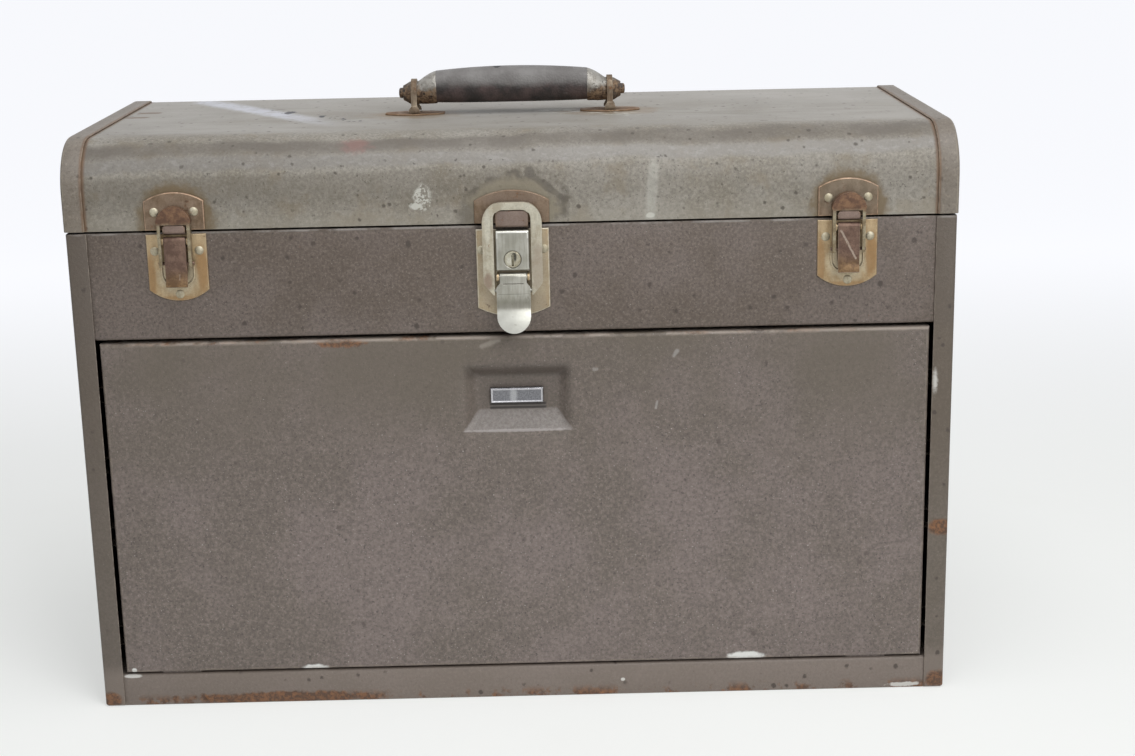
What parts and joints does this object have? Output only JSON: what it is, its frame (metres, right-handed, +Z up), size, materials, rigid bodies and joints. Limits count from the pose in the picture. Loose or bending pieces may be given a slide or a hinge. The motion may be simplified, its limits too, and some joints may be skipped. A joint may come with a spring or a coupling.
{
  "type": "machinist tool chest",
  "caption": "Steel machinist tool chest with a hinged lid over a till, a lift-out front panel over drawers, draw latches, a lock and a carrying handle.",
  "frame": {"origin": "centre of the chest's bottom face, on the surface it stands on", "axes": "+X to the right across the front, +Y from the front to the hinged back, +Z up"},
  "size_m": [0.5124, 0.2321, 0.3717],
  "materials": {
    "case_paint": "satin",
    "lid_paint": "satin",
    "panel_paint": "satin",
    "drawer_paint": "satin",
    "hinge_steel": "satin",
    "stay_steel": "satin",
    "latch_plate": "satin",
    "strike_rust": "satin",
    "link_steel": "satin",
    "lever_steel": "satin",
    "bail_steel": "satin",
    "lock_nickel": "polished",
    "plug_brass": "satin",
    "pin_steel": "satin",
    "rivet_steel": "satin",
    "plate_rust": "satin",
    "loop_rust": "satin",
    "grip_leather": "satin",
    "ferrule_steel": "satin",
    "nameplate_bright": "polished",
    "pull_steel": "satin",
    "felt": "matte"
  },
  "bodies": {
    "case": {"back_and_bottom": "case_paint", "bottom_rail": "case_paint", "case_studs": "rivet_steel", "centre_divider": "case_paint", "centre_latch_plate": "latch_plate", "drawer_runners": "case_paint", "drawer_shelf": "case_paint", "hinge_case_leaf": "hinge_steel", "hinge_pin": "hinge_steel", "latch_pins": "pin_steel", "left_end_panel": "case_paint", "lock_case": "lock_nickel", "panel_slot_guides": "case_paint", "panel_slot_shelf": "case_paint", "right_end_panel": "case_paint", "side_latch_plates": "latch_plate", "till_felt": "felt", "till_floor": "case_paint", "till_front": "case_paint"},
    "lid": {"lid_cover": "lid_paint", "lid_end_left": "lid_paint", "lid_end_right": "lid_paint", "hinge_lid_leaf": "hinge_steel", "side_strikes": "strike_rust", "centre_strike": "strike_rust", "handle_plates": "plate_rust", "lid_studs": "rivet_steel"},
    "lid_stay_left": {"lid_stay_left": "stay_steel"},
    "lid_stay_right": {"lid_stay_right": "stay_steel"},
    "handle_loop_left": {"handle_loop_left": "loop_rust"},
    "handle_loop_right": {"handle_loop_right": "loop_rust"},
    "side_lever_left": {"side_lever_left": "lever_steel"},
    "side_lever_right": {"side_lever_right": "lever_steel"},
    "side_link_left": {"side_link_left": "link_steel"},
    "side_link_right": {"side_link_right": "link_steel"},
    "centre_lever": {"centre_lever": "lock_nickel"},
    "centre_bail": {"centre_bail": "bail_steel"},
    "lock_plug": {"lock_plug": "plug_brass"},
    "grip": {"handle_grip": "grip_leather", "handle_ferrules": "ferrule_steel"},
    "front_panel": {"front_panel": "panel_paint", "nameplate": "nameplate_bright"},
    "drawer_1": {"drawer_1": "drawer_paint", "drawer_1_pull": "pull_steel"},
    "drawer_2": {"drawer_2": "drawer_paint", "drawer_2_pull": "pull_steel"},
    "drawer_3": {"drawer_3": "drawer_paint", "drawer_3_pull": "pull_steel"},
    "drawer_4": {"drawer_4": "drawer_paint", "drawer_4_pull": "pull_steel"},
    "drawer_5": {"drawer_5": "drawer_paint", "drawer_5_pull": "pull_steel"},
    "drawer_6": {"drawer_6": "drawer_paint", "drawer_6_pull": "pull_steel"},
    "drawer_7": {"drawer_7": "drawer_paint", "drawer_7_pull": "pull_steel"}
  },
  "joints": [
    {"name": "lid_hinge", "type": "hinge", "parent": "case", "child": "lid", "pos_m": [0, 0.1096, 0.2921], "axis": [-1, 0, 0], "range_deg": [0, 95]},
    {"name": "stay_left_swing", "type": "hinge", "parent": "case", "child": "lid_stay_left", "pos_m": [-0.2513, 0.08336, 0.26191], "axis": [-1, 0, 0], "range_deg": [0, 47.5]},
    {"name": "stay_right_swing", "type": "hinge", "parent": "case", "child": "lid_stay_right", "pos_m": [0.2513, 0.08336, 0.26191], "axis": [-1, 0, 0], "range_deg": [0, 47.5]},
    {"name": "handle_lift_left", "type": "slide", "parent": "lid", "child": "handle_loop_left", "axis": [0, 0, 1], "range_m": [0, 0.0175]},
    {"name": "handle_lift_right", "type": "slide", "parent": "lid", "child": "handle_loop_right", "axis": [0, 0, 1], "range_m": [0, 0.0175]},
    {"name": "grip_swing", "type": "hinge", "parent": "handle_loop_left", "child": "grip", "pos_m": [-0.0605, 0.005, 0.3562], "axis": [1, 0, 0], "range_deg": [-85, 85]},
    {"name": "side_lever_left_throw", "type": "hinge", "parent": "case", "child": "side_lever_left", "pos_m": [-0.1925, -0.111, 0.2871], "axis": [-1, 0, 0], "range_deg": [0, 115]},
    {"name": "side_link_left_swing", "type": "hinge", "parent": "side_lever_left", "child": "side_link_left", "pos_m": [-0.1925, -0.1106, 0.274], "axis": [-1, 0, 0], "range_deg": [-132.25, 0]},
    {"name": "side_lever_right_throw", "type": "hinge", "parent": "case", "child": "side_lever_right", "pos_m": [0.1925, -0.111, 0.2871], "axis": [-1, 0, 0], "range_deg": [0, 115]},
    {"name": "side_link_right_swing", "type": "hinge", "parent": "side_lever_right", "child": "side_link_right", "pos_m": [0.1925, -0.1106, 0.274], "axis": [-1, 0, 0], "range_deg": [-132.25, 0]},
    {"name": "centre_lever_throw", "type": "hinge", "parent": "case", "child": "centre_lever", "pos_m": [0, -0.1146, 0.2626], "axis": [-1, 0, 0], "range_deg": [0, 125]},
    {"name": "centre_bail_swing", "type": "hinge", "parent": "centre_lever", "child": "centre_bail", "pos_m": [0, -0.114, 0.2547], "axis": [-1, 0, 0], "range_deg": [-143.75, 0]},
    {"name": "lock_plug_turn", "type": "hinge", "parent": "case", "child": "lock_plug", "pos_m": [0, -0.112, 0.273], "axis": [0, 1, 0], "range_deg": [0, 90]},
    {"name": "panel_out", "type": "slide", "parent": "case", "child": "front_panel", "axis": [0, -1, 0], "range_m": [0, 0.42]},
    {"name": "drawer_1_slide", "type": "slide", "parent": "case", "child": "drawer_1", "axis": [0, -1, 0], "range_m": [0, 0.15]},
    {"name": "drawer_2_slide", "type": "slide", "parent": "case", "child": "drawer_2", "axis": [0, -1, 0], "range_m": [0, 0.15]},
    {"name": "drawer_3_slide", "type": "slide", "parent": "case", "child": "drawer_3", "axis": [0, -1, 0], "range_m": [0, 0.15]},
    {"name": "drawer_4_slide", "type": "slide", "parent": "case", "child": "drawer_4", "axis": [0, -1, 0], "range_m": [0, 0.15]},
    {"name": "drawer_5_slide", "type": "slide", "parent": "case", "child": "drawer_5", "axis": [0, -1, 0], "range_m": [0, 0.15]},
    {"name": "drawer_6_slide", "type": "slide", "parent": "case", "child": "drawer_6", "axis": [0, -1, 0], "range_m": [0, 0.15]},
    {"name": "drawer_7_slide", "type": "slide", "parent": "case", "child": "drawer_7", "axis": [0, -1, 0], "range_m": [0, 0.15]}
  ],
  "couplings": [
    {"joint": "stay_left_swing", "follows": "lid_hinge", "ratio": 0.5},
    {"joint": "stay_right_swing", "follows": "lid_hinge", "ratio": 0.5},
    {"joint": "handle_lift_right", "follows": "handle_lift_left", "ratio": 1},
    {"joint": "side_link_left_swing", "follows": "side_lever_left_throw", "ratio": -1.15},
    {"joint": "side_link_right_swing", "follows": "side_lever_right_throw", "ratio": -1.15},
    {"joint": "centre_bail_swing", "follows": "centre_lever_throw", "ratio": -1.15},
    {"joint": "drawer_1_slide", "follows": "panel_out", "ratio": 0.357},
    {"joint": "drawer_2_slide", "follows": "panel_out", "ratio": 0.357},
    {"joint": "drawer_3_slide", "follows": "panel_out", "ratio": 0.357},
    {"joint": "drawer_4_slide", "follows": "panel_out", "ratio": 0.357},
    {"joint": "drawer_5_slide", "follows": "panel_out", "ratio": 0.357},
    {"joint": "drawer_6_slide", "follows": "panel_out", "ratio": 0.357},
    {"joint": "drawer_7_slide", "follows": "panel_out", "ratio": 0.357}
  ]
}
